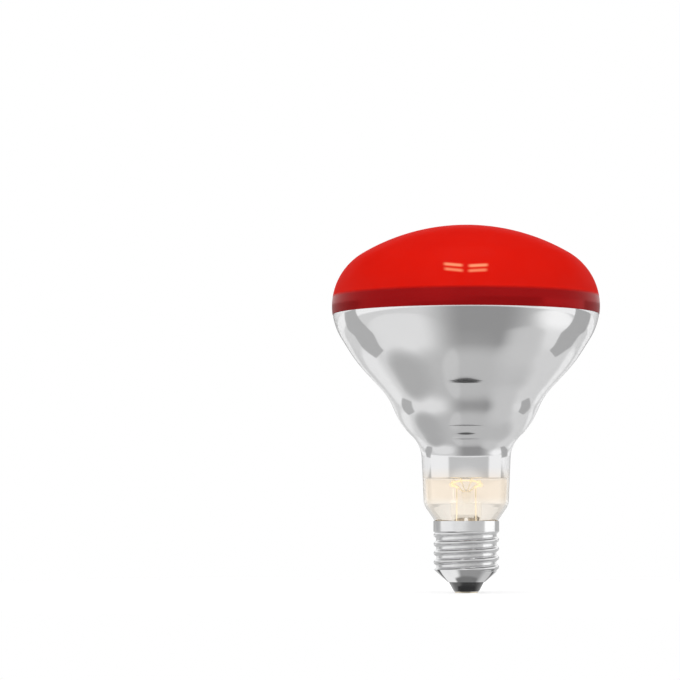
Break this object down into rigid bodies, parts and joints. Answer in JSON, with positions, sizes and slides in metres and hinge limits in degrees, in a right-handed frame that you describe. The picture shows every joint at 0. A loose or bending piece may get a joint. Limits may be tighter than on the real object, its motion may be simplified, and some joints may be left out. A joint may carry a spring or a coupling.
{
  "type": "infrared heat lamp bulb",
  "caption": "Infrared reflector lamp with a red coated dome, a silvered bulged reflector body, a clear neck that shows the filament mount, and a screw cap.",
  "frame": {"origin": "centre of the contact face at the tip of the screw cap", "axes": "+Z along the lamp's axis from the cap to the red front; the flat of the stem's pinch lies along X"},
  "size_m": [0.108, 0.108, 0.148],
  "materials": {
    "clear_glass": "clear blown soda glass",
    "red_lacquer": "glossy translucent red lacquer",
    "mirror_film": "vacuum deposited aluminium mirror",
    "tungsten_coil": "glowing coiled wire",
    "nickel_wire": "drawn wire",
    "stem_glass": "clear drawn glass",
    "cap_aluminium": "bright rolled sheet",
    "cap_cement": "baked cement",
    "black_glass": "glossy black pressed glass",
    "contact_brass": "pressed sheet",
    "solder": "soft solder"
  },
  "bodies": {
    "root": {"glass_bulb": "clear_glass", "red_coating": "red_lacquer", "mirror_coating": "mirror_film", "filament": "tungsten_coil", "lead_wire_centre": "nickel_wire", "lead_wire_shell": "nickel_wire", "stem_flare": "stem_glass", "exhaust_tube": "stem_glass", "support_rod": "stem_glass", "screw_shell": "cap_aluminium", "basing_cement": "cap_cement", "base_insulator": "black_glass", "centre_contact": "contact_brass", "centre_solder": "solder", "side_solder": "solder", "support_wire_1": "nickel_wire", "support_wire_2": "nickel_wire", "support_wire_3": "nickel_wire", "support_wire_4": "nickel_wire", "support_wire_5": "nickel_wire", "support_wire_6": "nickel_wire"}
  },
  "joints": []
}
